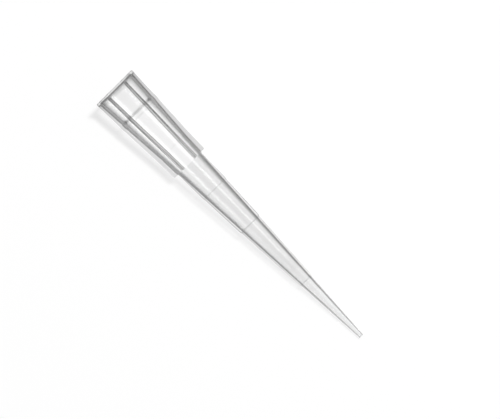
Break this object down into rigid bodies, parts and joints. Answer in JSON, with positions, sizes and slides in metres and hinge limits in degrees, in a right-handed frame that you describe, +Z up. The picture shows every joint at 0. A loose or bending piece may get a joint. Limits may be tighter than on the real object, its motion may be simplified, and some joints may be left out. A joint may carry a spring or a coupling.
{
  "type": "pipette tip",
  "caption": "Clear moulded pipette tip: a finned collar with a press-on socket, a straight tapered bore and stepped graduation rings.",
  "frame": {"origin": "bottom centre of the tip's own box as it lies at rest, on the table", "axes": "+X from the mouth towards the point, +Y across, +Z up. The tip's axis dips 3.7 degrees below +X, because it rests on its fins and on its middle ring"},
  "size_m": [0.0502, 0.007, 0.0071],
  "materials": {
    "clear_polypropylene": "clear and smooth, as moulded in natural polypropylene"
  },
  "bodies": {
    "root": {"pipette_tip": "clear_polypropylene"}
  },
  "joints": []
}
